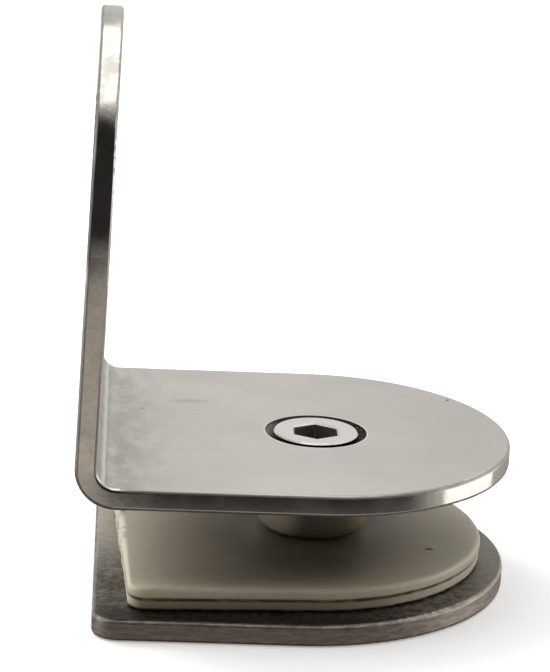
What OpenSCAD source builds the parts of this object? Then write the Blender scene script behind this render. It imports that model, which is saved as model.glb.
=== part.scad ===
// Wall-to-panel clamp: a bent sheet bracket, a cover plate, and two gaskets and a bush between them.
// The origin is on the clamp screw's axis, at the cover plate's underside.
// +X runs from the wall leg to the rounded ends, and +Z from the cover plate to the screw's head.

/* [Bracket] */
// Length of the clamping leg, from the outermost line of the bend to the rounded end
leg_len = 50; // [48:0.5:70]
// Width of both legs
leg_w = 45; // [42:0.5:46]
// Height of the wall leg above the underside of the clamping leg
wall_h = 51.2; // [46:0.1:80]
// Thickness of the bent sheet
sheet_t = 2.5; // [2.2:0.1:4]
// Inside radius of the bend
bend_r = 2.1; // [1:0.1:3]
// Angle between the two legs
leg_angle = 88.6; // [86:0.1:94]
// Radius that softens the edges of the sheet and of the cover plate
sheet_edge_r = 0.45; // [0.1:0.05:0.6]
// Diameter of the hole for the wall screw
wall_hole_d = 5.5; // [4:0.5:6]
// Diameter of the wall screw's countersink, where it meets the inner face
wall_rim_d = 9; // [8.6:0.2:10]

/* [Clamp screw] */
// Thread diameter of the clamp screw
screw_d = 6; // [5:0.5:6]
// Distance from one thread crest to the next
thread_pitch = 1; // [0.8:0.1:1.2]
// Length of the clamp screw below its head's top face
screw_len = 14; // [12:0.5:14]
// Diameter of the head
head_d = 9.8; // [9:0.1:10.4]
// Width of the bevel around the head's top face
head_bevel = 0.15; // [0.1:0.05:0.5]
// Height of the head's top face above the clamping leg's top face
head_proud = 0.1; // [0:0.05:0.3]
// Diameter of the head's countersink, where it meets the clamping leg's top face
rim_d = 11.8; // [11.2:0.1:12]
// Depth of the straight wall above the head's countersink
rim_land = 0.25; // [0.1:0.05:0.4]
// Diameter of the hole under the countersink
hole_d = 7.4; // [7.2:0.1:7.8]
// Distance across the flats of the hexagon socket
socket_af = 5; // [4:0.5:5]
// Depth of the hexagon socket
socket_depth = 3; // [2:0.5:3.5]
// Width of the chamfer around the socket's mouth
socket_mouth = 0.2; // [0.1:0.05:0.3]

/* [Cover plate] */
// Length of the cover plate, whose rounded end lies under the bracket's
cover_len = 47.6; // [46:0.1:60]
// Width of the cover plate
cover_w = 49; // [44:0.5:54]
// Thickness of the cover plate
cover_t = 2.5; // [2:0.1:4]
// Radius of the cover plate's two square corners, seen from above
cover_corner_r = 3; // [1:0.5:8]
// Outside diameter of the threaded boss
boss_d = 8; // [7.6:0.1:8.2]
// Height of the threaded boss above the cover plate
boss_h = 8.5; // [6:0.5:10]

/* [Gaskets and bush] */
// Thickness of each gasket
gasket_t = 1.5; // [1.2:0.1:3]
// Length of each gasket
gasket_len = 42.1; // [38:0.1:44]
// Width of each gasket
gasket_w = 42.4; // [38:0.1:44]
// Width of the cover plate's rim that shows beyond a gasket's round end
gasket_inset = 2.75; // [1.5:0.05:5]
// Radius of a gasket's two square corners, seen from above
gasket_corner_r = 2; // [1:0.25:4]
// Radius that softens a gasket's edges
gasket_edge_r = 0.45; // [0.2:0.05:0.55]
// Angle by which the upper gasket is turned about the clamp screw
upper_turn = 3.2; // [-6:0.1:6]
// Angle by which the lower gasket is turned about the clamp screw
lower_turn = 3.3; // [-6:0.1:6]
// Distance from the clamp screw's axis to the middle of the upper gasket's width
upper_shift = 0.1; // [-1.5:0.1:1.5]
// Distance from the clamp screw's axis to the middle of the lower gasket's width
lower_shift = 0.9; // [-1.5:0.1:1.5]
// Outside diameter of the bush
bush_d = 13.4; // [13:0.1:16]
// Height of the bush, which is the gap that is left for the panel
bush_h = 9; // [8.5:0.1:10]
// Radius of the bush's upper outer edge
bush_upper_r = 0.4; // [0.2:0.1:1]
// Radius of the bush's lower outer edge, which rests on the upper gasket
bush_lower_r = 2.4; // [0.3:0.1:2.4]

/* [Clearances] */
// Gap between the screw's crests and the boss's bore, on the radius
thread_gap = 0.05; // [0.02:0.01:0.1]
// Gap between the head's cone and its countersink, along the axis
seat_gap = 0.05; // [0.02:0.01:0.1]
// Gap between the boss and the bush or a gasket, on the radius
boss_gap = 0.2; // [0.1:0.05:0.3]

/* [Hidden] */
$fn = 96;

eps = 0.01;
past = 1;                                  // how far a cutter runs past the face it cuts
lower_z = cover_t;                         // undersides, counted up from the cover plate's
upper_z = lower_z + gasket_t;
bush_z = upper_z + gasket_t;
leg_z = bush_z + bush_h;
top_z = leg_z + sheet_t;                   // top face of the clamping leg
head_z = top_z + head_proud;               // top face of the screw's head

bend_outer_r = bend_r + sheet_t;
bend_x = leg_w / 2 - leg_len + bend_outer_r;
bend_z = leg_z + bend_outer_r;
bend_proud = 0.004;                        // height of the bend above the legs' faces
bend_lap = 4;                              // angle by which the bend runs into each leg
leg_flat = leg_w / 2 - bend_x;             // flat length of each leg, from the bend's tangent line
wall_flat = (wall_h - bend_outer_r * (1 + cos(leg_angle))) / sin(leg_angle);

cover_end = leg_w / 2;
cover_mid_x = cover_end - cover_w / 2;     // centre of the cover plate's round end

gasket_mid_x = cover_end - gasket_inset - gasket_w / 2;    // centre of a gasket's round end
bush_bore_d = boss_d + 2 * boss_gap;

shank_r = screw_d / 2 - thread_gap / 2;
boss_bore_r = screw_d / 2 + thread_gap / 2;
head_land = (rim_d - head_d) / 2 + rim_land + head_proud - seat_gap;
cone_end = head_land + head_d / 2 - shank_r;
thread_start = cone_end + 0.8;
thread_depth = 0.61 * thread_pitch;
tip_len = 0.8;
thread_turns = floor((screw_len - tip_len - thread_start) / thread_pitch);

// Half of a bar's cross-section, from its middle out to an edge that is rounded above and below
module half_section(half_w, t, edge_r) {
    square([half_w - edge_r, t]);
    translate([0, edge_r]) square([half_w, t - 2 * edge_r]);
    for (y = [edge_r, t - edge_r])
        translate([half_w - edge_r, y]) circle(edge_r);
}

// A bar's whole cross-section
module full_section(w, t, edge_r) {
    half_section(w / 2, t, edge_r);
    mirror([1, 0]) half_section(w / 2, t, edge_r);
}

// A flat bar that runs along +X from the origin
module strip(len, w, t, edge_r) {
    rotate([90, 0, 90]) linear_extrude(len) full_section(w, t, edge_r);
}

// The half disc that rounds off a bar's end, on the +X side of its centre
module round_end(w, t, edge_r) {
    rotate([0, 0, -90]) rotate_extrude(angle = 180) half_section(w / 2, t, edge_r);
}

// A bar with one round end, and with its plain end at the origin
module tongue(len, w, t, edge_r) {
    strip(len - w / 2, w, t, edge_r);
    translate([len - w / 2, 0, 0]) round_end(w, t, edge_r);
}

// A plate with one round end and two softened corners, seen from the centre of its round end
module d_plate(len, w, t, edge_r, corner_r) {
    corner_x = w / 2 - len + corner_r;
    corner_y = w / 2 - corner_r;
    translate([corner_x, 0, 0]) strip(-corner_x, w, t, edge_r);
    round_end(w, t, edge_r);
    translate([corner_x, corner_y, 0])
        mirror([1, 0, 0]) rotate([90, 0, 0])
            linear_extrude(2 * corner_y) half_section(corner_r, t, edge_r);
    for (side = [0, 1])
        translate([corner_x, corner_y * (1 - 2 * side), 0])
            rotate([0, 0, 90 + 90 * side])
                rotate_extrude(angle = 90) half_section(corner_r, t, edge_r);
}

// A through hole that faces +Z from the origin, with a 90 degree countersink below a straight wall
module countersunk_hole(d, rim, land) {
    depth = (rim - d) / 2;
    translate([0, 0, -land - depth]) cylinder(h = depth + eps, d1 = d, d2 = rim + 2 * eps);
    if (land > 0)
        translate([0, 0, -land]) cylinder(h = land + past, d = rim);
    translate([0, 0, -sheet_t - past]) cylinder(h = sheet_t + 2 * past, d = d);
}

// The clamping leg, the bend and the wall leg, seen from the bend's centre line.
// The bend runs a little way into each leg and stands a hair proud, so that the three are one body.
module bent_sheet() {
    translate([0, 0, -bend_outer_r]) tongue(leg_flat, leg_w, sheet_t, sheet_edge_r);
    rotate([90, 0, 0])
        rotate([0, 0, 90 + leg_angle - bend_lap])
            rotate_extrude(angle = 180 - leg_angle + 2 * bend_lap)
                translate([bend_outer_r + bend_proud, 0])
                    rotate(90)
                        full_section(leg_w + 2 * bend_proud, sheet_t + 2 * bend_proud, sheet_edge_r);
    rotate([0, -leg_angle, 0])
        translate([0, 0, bend_r]) tongue(wall_flat, leg_w, sheet_t, sheet_edge_r);
}

module bracket() {
    color("silver")
        difference() {
            translate([bend_x, 0, bend_z]) bent_sheet();
            translate([0, 0, top_z]) countersunk_hole(hole_d, rim_d, rim_land);
            translate([bend_x, 0, bend_z]) rotate([0, -leg_angle, 0])
                translate([wall_flat - leg_w / 2, 0, bend_r])
                    rotate([180, 0, 0]) countersunk_hole(wall_hole_d, wall_rim_d, 0);
        }
}

// The outline of one thread groove, from the crest above it to the crest below, as [radius, depth]
function groove(i) = let (z = thread_start + i * thread_pitch) [
    [shank_r, -z],
    [shank_r - thread_depth, -z - 0.3125 * thread_pitch],
    [shank_r - thread_depth, -z - 0.5625 * thread_pitch],
    [shank_r, -z - 0.875 * thread_pitch]
];

// A hexagonal socket with a chamfered mouth and a shallow drill point, cut down from the origin
module socket() {
    translate([0, 0, -socket_depth]) rotate([0, 0, 30])
        cylinder(h = socket_depth + past, r = socket_af / 2 / cos(30), $fn = 6);
    translate([0, 0, -socket_depth - 0.5]) cylinder(h = 0.5 + eps, d1 = 0.4, d2 = socket_af * 0.9);
    intersection_for (turn = [0, 60, 120])
        rotate([90, 0, turn]) linear_extrude(2 * socket_af, center = true)
            polygon([
                [-socket_af / 2, -socket_mouth],
                [socket_af / 2, -socket_mouth],
                [socket_af / 2 + socket_mouth + eps, eps],
                [-socket_af / 2 - socket_mouth - eps, eps]
            ]);
}

module clamp_screw() {
    head = [
        [0, 0],
        [head_d / 2 - head_bevel, 0],
        [head_d / 2, -head_bevel],
        [head_d / 2, -head_land],
        [shank_r, -cone_end]
    ];
    thread = [for (i = [0:thread_turns - 1]) each groove(i)];
    tip = [
        [shank_r, -screw_len + tip_len],
        [shank_r - tip_len, -screw_len],
        [0, -screw_len]
    ];
    color("whitesmoke")
        translate([0, 0, head_z])
            difference() {
                rotate_extrude() polygon(concat(head, thread, tip));
                socket();
            }
}

module cover_plate() {
    color("darkgray")
        translate([cover_mid_x, 0, 0])
            d_plate(cover_len, cover_w, cover_t, sheet_edge_r, cover_corner_r);
}

// A round nut that is welded to the cover plate and takes the clamp screw
module threaded_boss() {
    lead = 0.4;
    outer_r = boss_d / 2;
    color("gray")
        translate([0, 0, cover_t])
            rotate_extrude()
                polygon([
                    [boss_bore_r, 0],
                    [outer_r, 0],
                    [outer_r, boss_h - lead],
                    [outer_r - lead, boss_h],
                    [boss_bore_r + lead, boss_h],
                    [boss_bore_r, boss_h - lead]
                ]);
}

module glass_bush() {
    outer_r = bush_d / 2;
    color("ivory")
        translate([0, 0, bush_z])
            difference() {
                rotate_extrude() {
                    square([outer_r - bush_lower_r, bush_h]);
                    translate([0, bush_lower_r])
                        square([outer_r, bush_h - bush_lower_r - bush_upper_r]);
                    translate([0, bush_h / 2]) square([outer_r - bush_upper_r, bush_h / 2]);
                    translate([outer_r - bush_lower_r, bush_lower_r]) circle(bush_lower_r);
                    translate([outer_r - bush_upper_r, bush_h - bush_upper_r])
                        circle(bush_upper_r);
                }
                translate([0, 0, -past]) cylinder(h = bush_h + 2 * past, d = bush_bore_d);
            }
}

// A gasket whose outline is turned and shifted about the hole that fits over the boss
module gasket(turn, shift) {
    color("ivory")
        difference() {
            translate([0, shift, 0]) rotate([0, 0, turn]) translate([gasket_mid_x, 0, 0])
                d_plate(gasket_len, gasket_w, gasket_t, gasket_edge_r, gasket_corner_r);
            translate([0, 0, -past]) cylinder(h = gasket_t + 2 * past, d = bush_bore_d);
        }
}

module upper_gasket() {
    translate([0, 0, upper_z]) gasket(upper_turn, upper_shift);
}

module lower_gasket() {
    translate([0, 0, lower_z]) gasket(lower_turn, lower_shift);
}

bracket();
clamp_screw();
cover_plate();
threaded_boss();
glass_bush();
upper_gasket();
lower_gasket();
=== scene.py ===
"""The dressed glass panel clamp: procedural metals and plastics, moulded gaskets, floor, light and camera."""

import math

import bpy
from mathutils import Matrix, Vector, noise


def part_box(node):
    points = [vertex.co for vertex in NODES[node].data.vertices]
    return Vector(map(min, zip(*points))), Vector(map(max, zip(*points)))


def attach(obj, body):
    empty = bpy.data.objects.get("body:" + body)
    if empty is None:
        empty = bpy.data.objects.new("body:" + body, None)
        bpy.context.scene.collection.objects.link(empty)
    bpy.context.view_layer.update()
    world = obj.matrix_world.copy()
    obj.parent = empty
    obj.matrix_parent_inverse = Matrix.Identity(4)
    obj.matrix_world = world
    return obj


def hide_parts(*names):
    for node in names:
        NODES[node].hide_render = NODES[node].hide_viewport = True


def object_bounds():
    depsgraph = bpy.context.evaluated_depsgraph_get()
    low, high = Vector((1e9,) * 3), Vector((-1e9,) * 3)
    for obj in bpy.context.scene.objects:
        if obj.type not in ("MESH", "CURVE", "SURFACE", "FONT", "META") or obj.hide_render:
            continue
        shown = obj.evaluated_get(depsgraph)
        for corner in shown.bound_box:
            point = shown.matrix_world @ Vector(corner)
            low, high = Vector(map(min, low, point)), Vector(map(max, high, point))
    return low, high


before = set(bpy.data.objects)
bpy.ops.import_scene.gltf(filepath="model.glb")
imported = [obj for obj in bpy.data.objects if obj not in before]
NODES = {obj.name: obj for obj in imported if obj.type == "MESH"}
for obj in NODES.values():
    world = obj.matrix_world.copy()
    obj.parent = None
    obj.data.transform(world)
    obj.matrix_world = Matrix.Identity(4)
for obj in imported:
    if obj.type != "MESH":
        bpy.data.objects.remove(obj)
CAD_LOW, CAD_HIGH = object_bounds()
MM = 0.001

# Places in the row frame, in millimetres, worked out from the CAD nodes
LEG_LOW, LEG_HIGH = (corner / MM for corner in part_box("bracket"))
COVER_LOW, COVER_HIGH = (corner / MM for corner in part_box("cover_plate"))
TOP_Z = max(v.co.z for v in NODES["bracket"].data.vertices if v.co.x > 0) / MM
BEND_INNER_R = 2.1
BEND_OUTER_R = BEND_INNER_R + TOP_Z - LEG_LOW.z
BEND_X = LEG_LOW.x + BEND_OUTER_R
BEND_Z = LEG_LOW.z + BEND_OUTER_R
JOINT_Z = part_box("lower_gasket")[1].z / MM
ARCH_Z = LEG_HIGH.z - LEG_HIGH.y
CROWN_Z, CROWN_FADE = LEG_HIGH.z - 14.0, 3.0
HEAD_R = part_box("clamp_screw")[1].x / MM
RIM_R = max(math.hypot(v.co.x, v.co.y) for v in NODES["bracket"].data.vertices
            if v.co.z > (TOP_Z - 0.02) * MM and math.hypot(v.co.x, v.co.y) < (HEAD_R + 2.0) * MM) / MM

# Colours, as linear reflectances. The table's are what the metals mirror near and far, what it throws back on
# the part, and how the camera sees it, which is more than 1 so that its open parts come out white
STEEL = (0.63, 0.607, 0.555)
STEEL_SMUDGED = (0.45, 0.44, 0.385)
EDGE_STEEL = (0.60, 0.565, 0.51)
SCREW_STEEL = (0.86, 0.835, 0.80)
COVER_STEEL = (0.44, 0.41, 0.36)
COVER_DARK = (0.15, 0.13, 0.105)
BOSS_STEEL = (0.50, 0.49, 0.46)
IVORY = (0.80, 0.73, 0.60)
# Painted light on the plastics' faces turned to the left and on the gaskets' right side
IVORY_LIT = (0.98, 0.955, 0.85)
IVORY_DARK = (0.58, 0.50, 0.36)
RUST = (0.42, 0.27, 0.2)
# Soot for marks and scratches, also painted shade along the cover plate's front
SOOT_AND_SHADE = (0.03, 0.027, 0.024)
# Painted shadow along the gaskets' joints
JOINT_SHADE = (0.10, 0.07, 0.045)
TABLE = (0.64, 0.585, 0.52)
TABLE_FAR = (0.24, 0.22, 0.19)
TABLE_BOUNCE = (0.40, 0.365, 0.31)
TABLE_NEAR = (0.08, 0.075, 0.065)
TABLE_SEEN = (1.29, 1.30, 1.325)
# The next six are painted: highlights on the bend's inside and the countersink's rim, and shade on the edges'
# roundings, the countersink's ring, the screw's socket and under its head
BEND_HIGHLIGHT = (0.90, 0.89, 0.84)
RIM_HIGHLIGHT = (0.92, 0.91, 0.88)
ROUNDING_SHADE = (0.12, 0.115, 0.105)
RING_SHADE = (0.055, 0.048, 0.043)
SOCKET_SHADE = (0.16, 0.13, 0.11)
NECK_SHADE = (0.03, 0.027, 0.025)
SAWN_DARK, SAWN_LIGHT = (0.24, 0.205, 0.175), (0.40, 0.35, 0.31)
# Wear and a painted highlight on the cover plate's top rounding
WORN_AND_HIGHLIT = (0.56, 0.51, 0.45)

# How squarely a sheet's normal faces where an edge's rounding ends, and where the flat face starts
FLAT_FROM, FLAT_FULL = 0.75, 0.97

# Marks on the clamping leg's top, in millimetres: x and y from the screw's axis, half widths, and soft share
SMUDGE = (BEND_X + 8.3, 9.85, 3.6, 1.05, 0.85)
FLECK = (BEND_X + 2.8, 6.4, 0.42, 0.3, 0.5)
DOT = (16.4, 13.5, 0.24, 0.34, 0.4)
THUMB = (7.9, 1.5, 1.7, 1.2, 0.9)

# The press tool's score inside the bend
SCORE_X = BEND_X - 1.0
SCORE_WIDE = 0.10
SCORE_TOP_Z = TOP_Z + 1.4

# The bracket's narrow edges, in millimetres: draft and crowning across the sheet, a twist that grows up
# the wall leg, and the easing into its half round
EDGE_DRAFT = math.tan(math.radians(9.0))
EDGE_CROWN = -0.065
EDGE_TWIST, TWIST_FROM_Z = -0.008, ARCH_Z - 8.0
ARCH_EASE, EASE_LONG = -0.0055, 4.0

# The screw and the cover plate, in millimetres
SOCKET_R = 2.85
NECK_R = 3.2
COVER_DRAFT_LEFT, COVER_DRAFT_RIGHT = math.tan(math.radians(3.0)), math.tan(math.radians(6.0))
SCRATCH_X, SCRATCH_Y, SCRATCH_LEAN = COVER_HIGH.x - 0.835, 0.85, 0.37
SCRATCH_HALF, SCRATCH_FADE = 1.0, 0.1

# The moulded gaskets, in millimetres: steps round the outline and over an edge, edge radii, the scratch on
# the upper one like the marks above, and the torn flash on the straight end: nubs as y, half width and height
GASKET_TURNS = 1500
EDGE_STEPS = 6
GASKET_EDGE_R = 0.52
END_EDGE_R = 0.92
END_LONG, END_FADE = 2.2, 1.2
BORE_CHAMFER = 0.15
WAVE_HIGH = 0.05
DASH = (13.3, -6.9, 0.68, 0.36, 0.5)
NUBS = ((-5.8, 0.55, 0.62), (-4.6, 0.6, 0.45), (-2.4, 0.4, 0.22), (2.0, 1.0, 0.35))
CURL_X, CURL_Y, CURL_HIGH = BEND_X + 0.7, 2.3, 0.34


def tone(color, factor):
    return tuple(factor * c for c in color)


class Shader:
    """A material around one Principled BSDF, with short calls for the nodes that feed it.
    Coordinates are the object's own, in millimetres, so they are the row frame's and move with the piece."""

    def __init__(self, name, **constants):
        self.material = bpy.data.materials.new(name)
        self.material.use_nodes = True
        self.tree = self.material.node_tree
        self.tree.nodes.clear()
        out = self.tree.nodes.new("ShaderNodeOutputMaterial")
        self.bsdf = self.tree.nodes.new("ShaderNodeBsdfPrincipled")
        self.link(self.bsdf.outputs[0], out.inputs[0])
        for key, value in constants.items():
            self.bsdf.inputs[key.replace("_", " ").title().replace("Ior", "IOR")].default_value = value
        coord = self.tree.nodes.new("ShaderNodeTexCoord")
        self.place = self.vector("SCALE", coord.outputs["Object"], scale=1 / MM)
        self.x, self.y, self.z = self.split(self.place)
        self.nx, _, self.nz = self.split(coord.outputs["Normal"])

    def link(self, source, target):
        self.tree.links.new(source, target)

    def feed(self, socket, value):
        """Links value to a socket if it is a socket itself, and otherwise sets it."""
        if isinstance(value, bpy.types.NodeSocket):
            self.link(value, socket)
        elif isinstance(value, (tuple, list)) and len(value) == 3 and socket.type == "RGBA":
            socket.default_value = (*value, 1)
        else:
            socket.default_value = value

    def math(self, operation, a, b=0.0):
        node = self.tree.nodes.new("ShaderNodeMath")
        node.operation = operation
        self.feed(node.inputs[0], a)
        self.feed(node.inputs[1], b)
        return node.outputs[0]

    def add(self, *terms):
        total = terms[0]
        for term in terms[1:]:
            total = self.math("ADD", total, term)
        return total

    def times(self, *factors):
        product = factors[0]
        for factor in factors[1:]:
            product = self.math("MULTIPLY", product, factor)
        return product

    def vector(self, operation, a, b=(0, 0, 0), scale=1.0):
        node = self.tree.nodes.new("ShaderNodeVectorMath")
        node.operation = operation
        self.feed(node.inputs[0], a)
        if operation == "SCALE":
            self.feed(node.inputs["Scale"], scale)
        else:
            self.feed(node.inputs[1], b)
        return node.outputs["Value"] if operation == "LENGTH" else node.outputs[0]

    def split(self, vector):
        node = self.tree.nodes.new("ShaderNodeSeparateXYZ")
        self.link(vector, node.inputs[0])
        return node.outputs

    def join(self, x, y, z):
        node = self.tree.nodes.new("ShaderNodeCombineXYZ")
        for socket, value in zip(node.inputs, (x, y, z)):
            self.feed(socket, value)
        return node.outputs[0]

    def noise(self, vector, scale=1.0, detail=3.0, roughness=0.55):
        node = self.tree.nodes.new("ShaderNodeTexNoise")
        self.feed(node.inputs["Vector"], vector)
        for key, value in (("Scale", scale), ("Detail", detail), ("Roughness", roughness)):
            node.inputs[key].default_value = value
        return node.outputs["Fac"]

    def over(self, a, b):
        """1 where a is more than b, and otherwise 0."""
        return self.math("GREATER_THAN", a, b)

    def under(self, a, b):
        """1 where a is less than b, and otherwise 0."""
        return self.math("LESS_THAN", a, b)

    def absolute(self, value):
        return self.math("ABSOLUTE", value)

    def opposite(self, share):
        return self.math("SUBTRACT", 1.0, share)

    def ramp(self, value, low, high, to_low=0.0, to_high=1.0):
        """Leads smoothly from to_low to to_high as value goes from low to high, and holds there outside."""
        node = self.tree.nodes.new("ShaderNodeMapRange")
        node.interpolation_type = "SMOOTHSTEP"
        node.clamp = True
        for socket, v in zip(node.inputs[:5], (value, low, high, to_low, to_high)):
            self.feed(socket, v)
        return node.outputs["Result"]

    def fall(self, value, low, high):
        """1 up to low, and 0 from high on."""
        return self.ramp(value, low, high, 1.0, 0.0)

    def near(self, value, inner, outer):
        """1 where value is within inner of 0, and 0 where it is further off than outer."""
        return self.fall(self.absolute(value), inner, outer)

    def mix(self, share, a, b):
        node = self.tree.nodes.new("ShaderNodeMix")
        node.data_type = "RGBA"
        self.feed(node.inputs["Factor"], share)
        self.feed(node.inputs[6], a)
        self.feed(node.inputs[7], b)
        return node.outputs[2]

    def blot(self, cx, cy, rx, ry, soft):
        """1 inside an ellipse on the XY plane, falling to 0 at its rim over the share of it that is soft."""
        dx = self.times(self.add(self.x, -cx), 1 / rx)
        dy = self.times(self.add(self.y, -cy), 1 / ry)
        far = self.vector("LENGTH", self.join(dx, dy, 0.0))
        return self.fall(far, 1 - soft, 1.0)

    def finish(self, color, roughness, height):
        """Ends the material, with its relief as a bump whose height is in millimetres."""
        bump = self.tree.nodes.new("ShaderNodeBump")
        bump.inputs["Strength"].default_value = 1.0
        bump.inputs["Distance"].default_value = MM
        self.feed(bump.inputs["Height"], height)
        self.feed(self.bsdf.inputs["Base Color"], color)
        self.feed(self.bsdf.inputs["Roughness"], roughness)
        self.link(bump.outputs[0], self.bsdf.inputs["Normal"])
        return self.material


def bracket_material():
    """Brushed sheet whose grain runs along the strip and round the bend, with drafted, ground edges."""
    s = Shader("bracket_brushed_steel", metallic=1.0)
    along = s.add(s.x, s.times(s.z, -1.0))
    below = s.math("MINIMUM", s.add(s.z, -BEND_Z), 0.0)
    behind = s.math("MINIMUM", s.add(s.x, -BEND_X), 0.0)
    across = s.vector("LENGTH", s.join(behind, below, 0.0))

    # 1 on the broad faces of the sheet, also round the bend, and 0 on its narrow edges
    on_leg = s.over(s.x, BEND_X + 0.4)
    on_wall = s.over(s.z, BEND_Z + 1.5)
    in_bend = s.vector("LENGTH", s.join(s.nx, s.nz, 0.0))
    on_sheet = s.add(s.times(on_leg, s.absolute(s.nz)), s.times(s.opposite(on_leg), in_bend))
    facing = s.add(s.times(on_wall, s.absolute(s.nx)), s.times(s.opposite(on_wall), on_sheet))
    face = s.ramp(facing, FLAT_FROM, FLAT_FULL)

    # Brushing: long fine lines, and a coarser set of streaks
    fine = s.noise(s.join(s.times(along, 0.12), s.times(s.y, 7.0), across), detail=4.0, roughness=0.7)
    coarse = s.noise(s.join(s.times(along, 0.035), s.times(s.y, 1.1), 0.0), detail=3.0)
    cloud = s.noise(s.join(along, s.y, s.z), scale=0.09, detail=3.0)

    # Scuffed, greyer metal beside the bend, with short scratches along the grain
    near_bend = s.fall(s.x, BEND_X - 0.6, BEND_X + 9.0)
    band = s.fall(s.x, BEND_X + 0.4, BEND_X + 2.6)
    inside = s.over(s.x, BEND_X - BEND_INNER_R - 0.05)
    scuff_noise = s.noise(s.join(s.times(s.x, 0.45), s.times(s.y, 0.22), 7.0), detail=5.0, roughness=0.6)
    scuff = s.times(near_bend, inside, s.ramp(scuff_noise, 0.36, 0.60))
    tick_noise = s.noise(s.join(s.times(s.x, 0.35), s.times(s.y, 2.2), 0.0), detail=3.0, roughness=0.7)
    ticks = s.times(band, inside, s.ramp(tick_noise, 0.46, 0.6))

    base = s.mix(s.ramp(cloud, 0.3, 0.7), tone(STEEL, 0.965), tone(STEEL, 1.03))
    base = s.mix(s.ramp(s.x, -8.0, 20.0, 0.0, 0.16), base, tone(STEEL_SMUDGED, 0.5))
    base = s.mix(s.times(0.22, s.ramp(fine, 0.35, 0.7)), base, tone(STEEL, 0.72))
    base = s.mix(s.times(0.14, s.ramp(coarse, 0.45, 0.7)), base, tone(STEEL, 0.8))
    base = s.mix(s.times(0.85, scuff), base, STEEL_SMUDGED)
    base = s.mix(s.times(0.6, ticks), base, STEEL_SMUDGED)

    # The press tool's line along the inside of the bend: a painted highlight streak beside a fine dark score
    waver = s.times(0.25, s.noise(s.join(0.0, s.times(s.y, 0.25), 3.0), detail=3.0))
    beside_score = s.add(s.x, -SCORE_X, waver)
    score = s.near(beside_score, 0.0, SCORE_WIDE)
    bend_highlight = s.near(s.add(beside_score, 0.32), 0.08, 0.34)
    base = s.mix(s.times(0.55, bend_highlight, inside), base, BEND_HIGHLIGHT)
    base = s.mix(s.times(0.35, score, inside), base, STEEL_SMUDGED)

    # Marks on the clamping leg's top face
    top = s.over(s.nz, 0.9)
    rusty = s.times(top, s.blot(*SMUDGE), s.ramp(coarse, 0.2, 0.6))
    base = s.mix(s.times(0.5, rusty), base, RUST)
    fleck = s.times(top, s.blot(*FLECK))
    dot = s.times(top, s.blot(*DOT))
    base = s.mix(s.add(s.times(0.55, fleck), s.times(0.85, dot)), base, SOOT_AND_SHADE)
    thumb = s.times(top, s.blot(*THUMB))
    base = s.mix(s.times(0.16, thumb), base, STEEL_SMUDGED)

    # The countersink: painted shade in a dark ring, painted light on its left, painted glints on its right
    # and a painted highlight round its rim
    from_screw = s.vector("LENGTH", s.join(s.x, s.y, 0.0))
    sunk = s.times(s.fall(from_screw, RIM_R - 0.02, RIM_R + 0.03), s.over(s.z, LEG_LOW.z))
    ring_glints = s.ramp(s.noise(s.place, scale=4.0, detail=3.0), 0.60, 0.66)
    ring_lit_share = s.ramp(s.x, -RIM_R, -RIM_R + 2.2, 0.42, 0.0)
    ring_lit_share = s.add(ring_lit_share, s.times(ring_glints, s.ramp(s.x, RIM_R - 2.4, RIM_R - 1.0, 0.0, 0.8)))
    rim_highlight_line = s.times(top, s.fall(from_screw, RIM_R + 0.10, RIM_R + 0.20))
    base = s.mix(s.times(0.7, rim_highlight_line), base, RIM_HIGHLIGHT)

    # Painted shade on the clamping leg's underside
    shaded_underside = s.times(s.under(s.nz, -0.9), s.under(s.z, LEG_LOW.z + 0.2))
    base = s.mix(shaded_underside, base, COVER_DARK)

    # The narrow edges: blotched near the crown, and painted shade along their roundings, whose highlights
    # would outline them
    patina = s.noise(s.place, scale=0.55, detail=4.0, roughness=0.65)
    edge = s.mix(s.ramp(patina, 0.35, 0.7), tone(EDGE_STEEL, 0.9), tone(EDGE_STEEL, 1.08))
    rounding = s.times(s.ramp(facing, 0.04, 0.25), s.fall(facing, 0.70, 0.98))
    corner_glint = s.times(inside, s.fall(s.x, BEND_X - 0.2, BEND_X + 1.5))
    rounding = s.times(rounding, s.opposite(s.times(0.8, corner_glint)))
    black_band = s.times(s.ramp(s.z, ARCH_Z - 2.0, ARCH_Z), s.fall(s.z, CROWN_Z, CROWN_Z + CROWN_FADE))
    upper_edge = s.times(on_leg, s.ramp(s.nz, 0.05, 0.3), s.fall(s.x, 9.0, 16.0), s.opposite(sunk))
    brow = s.times(upper_edge, s.ramp(s.nz, 0.55, 0.9), s.fall(s.nz, 0.985, 0.9995))
    rounding_shade = s.times(rounding, s.add(0.34, s.times(0.5, black_band), s.times(0.3, upper_edge)))
    rounding_shade = s.math("MAXIMUM", rounding_shade, s.times(0.6, brow))
    blotch = s.ramp(s.noise(s.place, scale=0.42, detail=5.0, roughness=0.6), 0.42, 0.56)
    mottled = s.times(
        on_wall, s.ramp(s.z, CROWN_Z, CROWN_Z + CROWN_FADE), s.fall(s.z, LEG_HIGH.z - 2.6, LEG_HIGH.z - 1.2),
        s.ramp(s.x, LEG_LOW.x + 0.6, LEG_LOW.x + 2.4, 0.55, 1.0), s.add(0.15, s.times(0.85, blotch)))
    edge = s.mix(s.times(0.6, mottled), edge, tone(EDGE_STEEL, 0.45))
    color = s.mix(face, edge, base)
    # Painted shade on the roundings, stronger in a band up the wall leg and on the clamping leg's upper edge
    color = s.mix(rounding_shade, color, ROUNDING_SHADE)
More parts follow.
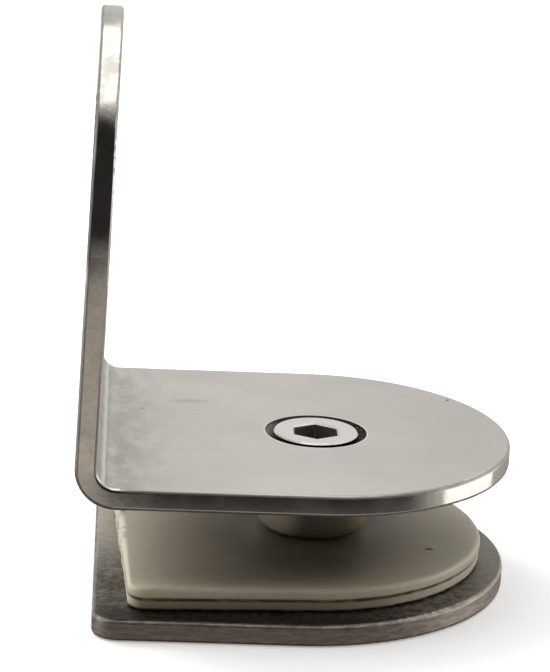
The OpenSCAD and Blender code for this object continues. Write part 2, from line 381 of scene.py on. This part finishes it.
    # Painted shade and light in the countersink's ring
    color = s.mix(sunk, color, s.mix(ring_lit_share, RING_SHADE, STEEL))
    rough_face = s.add(0.27, s.times(0.12, fine), s.times(0.10, cloud), s.times(0.12, scuff))
    worn_edge = s.ramp(s.noise(s.place, scale=0.3, detail=4.0), 0.35, 0.75)
    rough_rounding = s.times(rounding, s.add(0.28, s.times(0.2, upper_edge)))
    rough_edge = s.add(0.09, rough_rounding, s.times(0.10, worn_edge))
    roughness = s.add(s.times(face, rough_face), s.times(s.opposite(face), rough_edge), s.times(0.35, sunk))

    # Relief: the brushing and the score on the faces, and the edges' draft, crowning, twist and grinding
    score_low = s.times(score, inside, s.under(s.z, SCORE_TOP_Z), face)
    depth = s.add(across, -BEND_INNER_R)
    crowned = s.add(depth, s.times(depth, depth, EDGE_CROWN))
    drafted = s.times(crowned, EDGE_DRAFT, s.ramp(s.x, BEND_X - 4.5, BEND_X + 7.0, 0.3, 1.0))
    twisted = s.times(depth, s.math("MAXIMUM", s.add(s.z, -TWIST_FROM_Z), 0.0), EDGE_TWIST)
    nearing = s.math("MAXIMUM", s.math("MINIMUM", s.add(s.z, EASE_LONG - ARCH_Z), EASE_LONG), 0.0)
    eased = s.times(on_wall, nearing, nearing, ARCH_EASE)
    ground = s.times(0.006, s.noise(s.place, scale=1.6, detail=4.0))
    relief = s.add(
        s.times(face, s.add(s.times(0.010, fine), s.times(0.02, coarse))),
        s.times(score_low, -0.06),
        s.times(s.opposite(face), s.add(drafted, twisted, eased, ground)),
    )
    return s.finish(color, roughness, relief)


def screw_material():
    """Turned and plated screw, with faint rings about its axis, and painted shade in its socket and under its
    head.
    """
    s = Shader("screw_turned_steel", metallic=1.0)
    radius = s.vector("LENGTH", s.join(s.x, s.y, 0.0))
    rings = s.noise(s.join(s.times(radius, 5.0), s.times(s.z, 5.0), 0.0), detail=3.0, roughness=0.7)
    cloud = s.noise(s.place, scale=0.5, detail=3.0)
    sunk = s.fall(s.z, TOP_Z - 0.35, TOP_Z - 0.15)
    in_socket = s.times(s.fall(radius, SOCKET_R - 0.1, SOCKET_R + 0.1), sunk)
    base = s.mix(s.times(0.25, cloud), SCREW_STEEL, tone(SCREW_STEEL, 0.8))
    # Painted shade in the socket and under the head
    base = s.mix(s.times(0.75, in_socket), base, SOCKET_SHADE)
    under_head = s.times(s.fall(s.z, TOP_Z - 0.07, TOP_Z - 0.03), s.over(radius, NECK_R))
    base = s.mix(under_head, base, NECK_SHADE)
    roughness = s.add(0.14, s.times(0.12, rings), s.times(0.10, cloud), s.times(0.15, in_socket))
    return s.finish(base, roughness, s.add(s.times(0.006, rings), s.times(0.01, cloud)))


def cover_material():
    """Dull mill sheet, mottled and scratched, with a sawn edge."""
    s = Shader("cover_mill_steel", metallic=1.0)
    face = s.ramp(s.absolute(s.nz), FLAT_FROM, FLAT_FULL)
    mottle = s.noise(s.place, scale=1.1, detail=7.0, roughness=0.82)
    streak = s.noise(s.join(s.times(s.x, 0.25), s.times(s.y, 3.0), 0.0), detail=4.0, roughness=0.7)
    cloud = s.noise(s.place, scale=0.12, detail=3.0)
    base = s.mix(s.ramp(mottle, 0.43, 0.60), COVER_DARK, COVER_STEEL)
    beside_scratch = s.near(s.add(s.x, s.times(SCRATCH_LEAN, s.y), -SCRATCH_X), 0.0, SCRATCH_FADE)
    along_scratch = s.near(s.add(s.y, -SCRATCH_Y), SCRATCH_HALF - SCRATCH_FADE, SCRATCH_HALF + SCRATCH_FADE)
    base = s.mix(s.times(0.8, beside_scratch, along_scratch), base, SOOT_AND_SHADE)

    # Brighter at its left end and darker towards the right, with painted shade along the front
    brighter_left_end = s.times(s.fall(s.x, COVER_LOW.x + 4.0, COVER_LOW.x + 7.0), s.ramp(s.y, -13.0, 4.0))
    base = s.mix(s.times(0.7, brighter_left_end), base, tone(COVER_STEEL, 1.8))
    base = s.mix(s.times(0.78, s.ramp(s.x, COVER_HIGH.x - 8.0, COVER_HIGH.x - 2.0)), base, COVER_DARK)
    front_shade = s.fall(s.y, COVER_LOW.y + 1.2, COVER_LOW.y + 6.0)
    base = s.mix(s.times(0.75, front_shade), base, SOOT_AND_SHADE)
    base = s.mix(s.times(0.35, s.ramp(streak, 0.4, 0.7)), base, tone(COVER_STEEL, 0.55))

    # The sawn edge, and the worn rounding above it, with a painted highlight
    sawn = s.join(s.times(s.x, 0.45), s.times(s.y, 0.45), s.times(s.z, 2.2))
    edge_noise = s.noise(sawn, detail=5.0, roughness=0.65)
    edge = s.mix(s.ramp(edge_noise, 0.35, 0.7), SAWN_DARK, SAWN_LIGHT)
    worn_and_highlit = s.times(s.ramp(s.nz, 0.1, 0.4), s.fall(s.nz, FLAT_FROM, FLAT_FULL))
    patchy = s.ramp(s.noise(s.place, scale=0.7, detail=5.0, roughness=0.65), 0.40, 0.62, 0.15, 0.9)
    color = s.mix(s.times(worn_and_highlit, patchy), s.mix(face, edge, base), WORN_AND_HIGHLIT)
    roughness = s.add(
        s.times(face, s.add(0.30, s.times(0.25, mottle))),
        s.times(s.opposite(face), s.add(0.22, s.times(0.25, edge_noise), s.times(0.22, worn_and_highlit))),
    )
    draft = s.ramp(s.x, 9.0, 18.0, COVER_DRAFT_LEFT, COVER_DRAFT_RIGHT)
    relief = s.add(
        s.times(0.03, mottle), s.times(0.015, streak),
        s.times(s.opposite(face), s.add(s.times(s.z, -1.0, draft), s.times(0.03, edge_noise))),
    )
    return s.finish(color, s.add(roughness, s.times(0.05, cloud)), relief)


def boss_material():
    """Plain turned steel, with the lathe's rings."""
    s = Shader("boss_turned_steel", metallic=1.0)
    radius = s.vector("LENGTH", s.join(s.x, s.y, 0.0))
    rings = s.noise(s.join(s.times(radius, 4.0), s.times(s.z, 4.0), 0.0), detail=3.0)
    cloud = s.noise(s.place, scale=0.4)
    color = s.mix(cloud, tone(BOSS_STEEL, 0.85), BOSS_STEEL)
    return s.finish(color, s.add(0.25, s.times(0.15, rings)), s.times(0.01, rings))


def plastic_material(name, mark):
    """Moulded ivory plastic with sink marks and flow streaks, painted shade under the clamp and painted light
    on faces turned to the left, the torn end among them. With mark set it also has the gaskets' dark scratch,
    painted shadow along the split lines, and painted light on the right side."""
    s = Shader(name, specular_ior_level=0.45, subsurface_weight=0.12, subsurface_scale=0.6 * MM)
    cloud = s.noise(s.place, scale=0.16, detail=3.0)
    flow = s.noise(s.join(s.times(s.x, 0.5), s.times(s.y, 1.4), s.z), detail=4.0, roughness=0.6)
    grain = s.noise(s.place, scale=4.5, detail=3.0, roughness=0.6)
    base = s.mix(s.ramp(cloud, 0.3, 0.7), tone(IVORY, 0.95), IVORY)
    base = s.mix(s.times(0.18, s.ramp(flow, 0.5, 0.75)), base, IVORY_DARK)

    # Painted shade under the clamping leg: on the gaskets round the screw, and on the bush, less on its left
    # and right
    if mark:
        from_axis = s.vector("LENGTH", s.join(s.x, s.times(s.add(s.y, 3.0), 0.95), 0.0))
        shade_patches = s.ramp(s.noise(s.place, scale=0.22), 0.3, 0.6, 0.75, 1.0)
        leg_shade = s.times(s.ramp(from_axis, 8.5, 16.5, 0.64, 0.0), shade_patches)
    else:
        leg_shade = s.ramp(s.absolute(s.nx), 0.5, 0.95, 0.9, 0.2)
    base = s.mix(leg_shade, base, tone(IVORY_DARK, 0.42))

    # Painted light on faces turned to the left, the torn end among them, and paler on the curl on top
    left_lit = s.fall(s.nx, -0.6, -0.12)
    curl = s.times(s.blot(CURL_X, CURL_Y, 1.25, 1.0, 0.5), s.over(s.z, JOINT_Z + 1.2))
    base = s.mix(s.times(0.85, s.math("MAXIMUM", left_lit, curl)), base, IVORY_LIT)

    if mark:
        # Painted light on the right side, more below the split
        under_split = s.under(s.z, JOINT_Z)
        right_lit = s.times(s.ramp(s.x, 2.0, 14.0), s.add(0.6, s.times(0.4, under_split)))
        base = s.mix(right_lit, base, IVORY_LIT)
        dash = s.times(s.blot(*DASH), s.over(s.nz, 0.5))
        base = s.mix(s.times(0.95, dash), base, SOOT_AND_SHADE)
        # Painted shadow along the split between the gaskets and under the lower one
        for joint_z, width in ((JOINT_Z, 0.46), (COVER_HIGH.z, 0.40)):
            joint_shadow = s.near(s.add(s.z, -joint_z), 0.20, width)
            joint_shadow = s.times(joint_shadow, s.ramp(s.noise(s.place, scale=0.5, detail=4.0), 0.3, 0.6, 0.6, 1.0))
            base = s.mix(s.times(joint_shadow, s.under(s.absolute(s.nz), FLAT_FULL + 0.01)), base, JOINT_SHADE)
    roughness = s.add(0.38, s.times(0.18, flow))
    return s.finish(base, roughness, s.add(s.times(0.03, cloud), s.times(0.012, grain)))


def outline_of(node):
    """The convex outline of a CAD node seen from above, as points in millimetres."""
    points = sorted({(round(v.co.x / MM, 4), round(v.co.y / MM, 4)) for v in NODES[node].data.vertices})

    def half(ordered):
        chain = []
        for p in ordered:
            while len(chain) > 1 and ((chain[-1][0] - chain[-2][0]) * (p[1] - chain[-2][1])
                                      - (chain[-1][1] - chain[-2][1]) * (p[0] - chain[-2][0])) <= 0:
                chain.pop()
            chain.append(p)
        return chain[:-1]

    return half(points) + half(points[::-1])


def reach(outline, angle):
    """How far the outline is from the clamp screw's axis at that angle."""
    c, s = math.cos(angle), math.sin(angle)
    for (ax, ay), (bx, by) in zip(outline, outline[1:] + outline[:1]):
        ex, ey = bx - ax, by - ay
        cross = c * ey - s * ex
        if abs(cross) < 1e-12:
            continue
        far = (ax * ey - ay * ex) / cross
        share = (ax * s - ay * c) / cross
        if far > 0 and -1e-9 <= share <= 1 + 1e-9:
            return far
    raise ValueError("the outline doesn't go round the axis")


def held(value):
    """The value, held between 0 and 1."""
    return max(0.0, min(1.0, value))


def torn_edge(y, z, upper, seed, nubs):
    """How far the torn moulding flash stands out there on a gasket's straight end, in millimetres."""
    ragged = noise.fractal(Vector((y * 1.3, seed * 3.1, z * 1.1)), 0.8, 2.1, 5)
    crumbs = noise.fractal(Vector((y * 4.0, seed * 1.7, z * 3.0)), 0.9, 2.0, 4)
    rough = 0.05 + 0.16 * held((y + 10.0) / 7.0)
    knobs = sum(high * math.exp(-((y - middle) / wide) ** 2) for middle, wide, high in nubs)
    return rough * (0.8 * ragged + 0.6 * crumbs) + (0.3 + 0.7 * upper) * knobs * (1.0 + 0.6 * crumbs)


def gasket_column(far, at_end, low_z, high_z, hole, nubs):
    """One radial section of a gasket, as distances from the axis and heights, from the bore's lower edge."""
    r = GASKET_EDGE_R
    top_r = r + (END_EDGE_R - r) * at_end if nubs else r
    arc = [math.radians(90 * i / EDGE_STEPS) for i in range(EDGE_STEPS + 1)]
    top_edge = [(far - top_r + top_r * math.sin(a), high_z - top_r + top_r * math.cos(a)) for a in arc]
    side = [(far, low_z + r + (high_z - low_z - r - top_r) * t) for t in (0.75, 0.5, 0.25)]
    low_edge = [(far - r + r * math.cos(a), low_z + r - r * math.sin(a)) for a in arc]
    top = [(hole + (far - top_r - hole) * t, high_z) for t in (0.25, 0.5, 0.75, 0.88, 0.92, 0.95, 0.98)]
    bore = [(hole, low_z + BORE_CHAMFER), (hole, high_z - BORE_CHAMFER), (hole + BORE_CHAMFER, high_z)]
    return bore + top + top_edge + side + low_edge + [(hole + BORE_CHAMFER, low_z)]


def moulded_gasket(node, name, nubs, seed):
    """A gasket on the CAD node's own outline, with soft edges and torn flash along its straight end."""
    low, high = (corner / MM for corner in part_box(node))
    hole = min(math.hypot(v.co.x, v.co.y) for v in NODES[node].data.vertices) / MM
    outline = outline_of(node)
    verts, faces = [], []
    for k in range(GASKET_TURNS):
        angle = 2 * math.pi * k / GASKET_TURNS
        c, s = math.cos(angle), math.sin(angle)
        far = reach(outline, angle)
        at_end = held((low.x + END_LONG - far * c) / END_FADE)
        for radius, z in gasket_column(far, at_end, low.z, high.z, hole, nubs):
            p = Vector((radius * c, radius * s, z))
            near_edge = max(0.0, 1 - (far - radius) / (2.2 * GASKET_EDGE_R))
            wave = WAVE_HIGH * near_edge * noise.fractal(Vector((p.x * 0.35, p.y * 0.35, seed)), 1.0, 2.0, 3)
            p.x += wave * c
            p.y += wave * s
            if at_end and near_edge:
                upper = held((z - low.z) / (high.z - low.z))
                out = at_end * near_edge * torn_edge(p.y, p.z, upper, seed, nubs)
                p.x -= out
                p.z += 0.25 * upper * max(0.0, out)
            if nubs and z > high.z - 0.5:
                heap = math.exp(-((p.x - CURL_X) / 0.6) ** 2 - ((p.y - CURL_Y) / 0.55) ** 2)
                p.z += CURL_HIGH * heap * (1.0 + noise.fractal(Vector((p.x * 3, p.y * 3, 5.0)), 0.9, 2.0, 3))
            verts.append(p * MM)
    rows = len(verts) // GASKET_TURNS
    for k in range(GASKET_TURNS):
        a, b = k * rows, (k + 1) % GASKET_TURNS * rows
        for i in range(rows):
            j = (i + 1) % rows
            faces.append((a + i, b + i, b + j, a + j))
    mesh = bpy.data.meshes.new(name)
    mesh.from_pydata(verts, [], faces)
    mesh.validate()
    mesh.polygons.foreach_set("use_smooth", [True] * len(mesh.polygons))
    piece = bpy.data.objects.new(name, mesh)
    bpy.context.scene.collection.objects.link(piece)
    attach(piece, "cover")
    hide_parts(node)
    return piece


def dress(obj, material):
    obj.data.materials.clear()
    obj.data.materials.append(material)


dress(NODES["bracket"], bracket_material())
dress(NODES["clamp_screw"], screw_material())
dress(NODES["cover_plate"], cover_material())
dress(NODES["threaded_boss"], boss_material())
dress(NODES["glass_bush"], plastic_material("bush_ivory_plastic", mark=False))
gasket_plastic = plastic_material("gasket_ivory_plastic", mark=True)
dress(moulded_gasket("upper_gasket", "upper_gasket_moulded", NUBS, 3.0), gasket_plastic)
dress(moulded_gasket("lower_gasket", "lower_gasket_moulded", (), 11.0), gasket_plastic)


# Floor, world, lamps and camera

# The floor, in metres: its half side, its height, and how far off it starts to whiten and is all white
FLOOR_HALF, FLOOR_Z = 3.0, -0.04 * MM
WHITE_FROM, WHITE_FULL = 0.12, 0.45
WHITE_LEAST = 0.33

# The room's radiances
WHITE = (1.0, 1.0, 1.0)
ROOM_LOW, ROOM_HIGH = (0.70, 0.70, 0.69), (0.90, 0.90, 0.90)
FRONT_MIRRORED, FRONT = (0.032, 0.031, 0.032), (0.03, 0.03, 0.03)
SIDE_RIGHT, SIDE_LEFT, SIDE_GAP = (3.8, 3.35, 2.75), (4.3, 3.85, 3.1), (0.04, 0.04, 0.035)
BEHIND, CEILING = (0.05, 0.05, 0.05), (0.75, 0.75, 0.745)

# The camera: its angles in degrees, its place from the part's centre in millimetres, and its lens
CAMERA_TURN, CAMERA_TIP, CAMERA_ROLL = 2.81, 16.77, 2.83
CAMERA_OFFSET = (-21.17, -374.85, 108.60)
SENSOR, LENS = 36.0, 183.07


def ray_share(tree, output):
    return tree.nodes.new("ShaderNodeLightPath").outputs[output]


def make_floor():
    """A pale table that keeps the part's shadow, and fades to the white background away from it."""
    mesh = bpy.data.meshes.new("floor")
    corners = [(x * FLOOR_HALF, y * FLOOR_HALF, FLOOR_Z) for x, y in ((-1, -1), (1, -1), (1, 1), (-1, 1))]
    mesh.from_pydata(corners, [], [(0, 1, 2, 3)])
    floor = bpy.data.objects.new("floor", mesh)
    bpy.context.scene.collection.objects.link(floor)
    material = bpy.data.materials.new("pale_floor")
    material.use_nodes = True
    tree = material.node_tree
    tree.nodes.clear()
    out = tree.nodes.new("ShaderNodeOutputMaterial")
    mix = tree.nodes.new("ShaderNodeMixShader")
    diffuse = tree.nodes.new("ShaderNodeBsdfDiffuse")
    albedo = tree.nodes.new("ShaderNodeMix")
    albedo.data_type = "RGBA"
    albedo.inputs[6].default_value = (*TABLE_BOUNCE, 1)
    albedo.inputs[7].default_value = (*TABLE_SEEN, 1)
    glow = tree.nodes.new("ShaderNodeEmission")
    coord = tree.nodes.new("ShaderNodeTexCoord")
    from_part = tree.nodes.new("ShaderNodeVectorMath")
    from_part.operation = "LENGTH"
    whiter = tree.nodes.new("ShaderNodeMapRange")
    whiter.interpolation_type = "SMOOTHSTEP"
    for socket, value in zip(whiter.inputs[1:5], (WHITE_FROM, WHITE_FULL, WHITE_LEAST, 1.0)):
        socket.default_value = value
    share = tree.nodes.new("ShaderNodeMath")
    share.operation = "MULTIPLY"
    for source, target in (
        (ray_share(tree, "Is Camera Ray"), albedo.inputs["Factor"]),
        (albedo.outputs[2], diffuse.inputs[0]),
        (coord.outputs["Object"], from_part.inputs[0]),
        (from_part.outputs["Value"], whiter.inputs[0]),
        (ray_share(tree, "Is Camera Ray"), share.inputs[0]),
        (whiter.outputs["Result"], share.inputs[1]),
        (share.outputs[0], mix.inputs[0]),
        (diffuse.outputs[0], mix.inputs[1]),
        (glow.outputs[0], mix.inputs[2]),
        (mix.outputs[0], out.inputs[0]),
    ):
        tree.links.new(source, target)
    mesh.materials.append(material)
    floor.visible_glossy = False


def make_world():
    """White to the camera. To everything else pale, and dark in front, where the photographer stands."""
    world = bpy.data.worlds.new("studio")
    bpy.context.scene.world = world
    world.use_nodes = True
    tree = world.node_tree
    tree.nodes.clear()

    def put(kind, *values, operation=None):
        node = tree.nodes.new(kind)
        if operation:
            node.operation = operation
        for socket, value in zip(node.inputs, values):
            if isinstance(value, bpy.types.NodeSocket):
                tree.links.new(value, socket)
            elif value is not None:
                socket.default_value = value
        return node

    def calc(operation, *values):
        return put("ShaderNodeMath", *values, operation=operation).outputs[0]

    def step(value, low, high, to_low=0.0, to_high=1.0, smooth=True):
        node = put("ShaderNodeMapRange", value, low, high, to_low, to_high)
        node.interpolation_type = "SMOOTHSTEP" if smooth else "LINEAR"
        return node.outputs["Result"]

    def blend(share, a, b):
        node = tree.nodes.new("ShaderNodeMix")
        node.data_type = "RGBA"
        tree.links.new(share, node.inputs["Factor"])
        for socket, value in ((node.inputs[6], a), (node.inputs[7], b)):
            if isinstance(value, bpy.types.NodeSocket):
                tree.links.new(value, socket)
            else:
                socket.default_value = (*value, 1)
        return node.outputs[2]

    def put_color(value):
        node = tree.nodes.new("ShaderNodeRGB")
        node.outputs[0].default_value = (*value, 1)
        return node.outputs[0]

    coord = tree.nodes.new("ShaderNodeTexCoord")
    parts = put("ShaderNodeSeparateXYZ", coord.outputs["Generated"]).outputs
    elevation = calc("DEGREES", calc("ARCSINE", parts[2]))
    azimuth = calc("DEGREES", calc("ARCTAN2", parts[0], calc("MULTIPLY", parts[1], -1.0)))
    aside = calc("ABSOLUTE", azimuth)

    # Where a direction is: ahead, above the table's far rim, which is blurred, and in the dark front
    ahead = step(aside, 50.0, 80.0, 1.0, 0.0)
    above = calc("ADD", step(elevation, -20.0, -11.0, 0.0, 0.8, smooth=False),
                 step(elevation, -11.0, -3.0, 0.0, 0.2, smooth=False))
    below = calc("SUBTRACT", 1.0, above)
    dark = calc("MULTIPLY", ahead, calc("MULTIPLY", above, step(elevation, 60.0, 70.0, 1.0, 0.0)))

    # What the metals mirror
    mirrored = blend(step(elevation, 20.0, 60.0), ROOM_LOW, ROOM_HIGH)
    near_table = blend(step(elevation, -34.0, -24.0, 1.0, 0.0), put_color(TABLE), TABLE_NEAR)
    mirrored = blend(below, mirrored, blend(ahead, put_color(TABLE_FAR), near_table))
    mirrored = blend(dark, mirrored, FRONT_MIRRORED)

    # What lights the plastics: the two sides and the ceiling, and little from behind
    beside = calc("MULTIPLY", step(aside, 60.0, 92.0), step(aside, 105.0, 140.0, 1.0, 0.0))
    on_left = step(azimuth, -10.0, 10.0, 1.0, 0.0)
    side_light = blend(on_left, put_color(SIDE_RIGHT), SIDE_LEFT)
    gap = calc("MULTIPLY", step(elevation, 1.0, 5.0), step(elevation, 16.0, 36.0, 1.0, 0.0))
    side_light = blend(gap, side_light, SIDE_GAP)
    soft = blend(beside, put_color(BEHIND), side_light)
    soft = blend(step(elevation, 28.0, 50.0), soft, CEILING)
    soft = blend(below, soft, blend(ahead, put_color(TABLE_FAR), TABLE))
    soft = blend(calc("MULTIPLY", dark, step(elevation, 56.0, 72.0, 1.0, 0.0)), soft, FRONT)

    lit = blend(ray_share(tree, "Is Diffuse Ray"), mirrored, soft)
    seen = blend(ray_share(tree, "Is Camera Ray"), lit, WHITE)
    background = put("ShaderNodeBackground", seen, 1.0)
    out = tree.nodes.new("ShaderNodeOutputWorld")
    tree.links.new(background.outputs[0], out.inputs[0])


def lamp(name, place, aim, size, radiance, diffuse=True, glossy=True):
    """A rectangular softbox of that radiance, in the row frame."""
    data = bpy.data.lights.new(name, "AREA")
    data.shape, data.size, data.size_y = "RECTANGLE", *size
    data.energy = radiance * math.pi * size[0] * size[1]
    obj = bpy.data.objects.new(name, data)
    obj.location = place
    obj.rotation_euler = (Vector(aim) - Vector(place)).to_track_quat("-Z", "Y").to_euler()
    obj.visible_diffuse, obj.visible_glossy = diffuse, glossy
    bpy.context.scene.collection.objects.link(obj)


def make_camera():
    """A long lens at the photograph's angle: turned from +Y towards +X, tipped down and rolled."""
    centre = (CAD_LOW + CAD_HIGH) / 2
    diagonal = (CAD_HIGH - CAD_LOW).length
    turn, tip, roll = (math.radians(angle) for angle in (CAMERA_TURN, CAMERA_TIP, CAMERA_ROLL))
    offset = Vector(CAMERA_OFFSET) * MM
    ahead = Vector((math.sin(turn) * math.cos(tip), math.cos(turn) * math.cos(tip), -math.sin(tip)))
    right = Vector((math.cos(turn), -math.sin(turn), 0))
    up = right.cross(ahead)
    side = math.cos(roll) * right + math.sin(roll) * up
    rise = -math.sin(roll) * right + math.cos(roll) * up
    data = bpy.data.cameras.new("camera")
    data.sensor_width, data.lens = SENSOR, LENS
    data.clip_start, data.clip_end = diagonal * 0.1, diagonal * 60
    camera = bpy.data.objects.new("camera", data)
    turned = Matrix((side, rise, -ahead)).transposed().to_4x4()
    camera.matrix_world = Matrix.Translation(centre + offset) @ turned
    bpy.context.scene.collection.objects.link(camera)
    bpy.context.scene.camera = camera


make_floor()
make_world()
make_camera()
ORIGIN, LOW_AIM = (0.0, 0.0, 0.0), (0.0, 0.0, 0.02)
lamp("overhead_softbox", (0.0, 0.14, 0.52), ORIGIN, size=(0.50, 0.62), radiance=1.25)
lamp("key_softbox", (-0.30, 0.25, 0.45), ORIGIN, size=(0.30, 0.30), radiance=6.0, glossy=False)
lamp("right_softbox", (0.52, 0.08, 0.06), LOW_AIM, size=(0.44, 0.36), radiance=1.25, diffuse=False)
lamp("left_softbox", (-0.52, -0.03, 0.06), LOW_AIM, size=(0.34, 0.36), radiance=1.25, diffuse=False)

bpy.context.scene.view_settings.view_transform = "Standard"
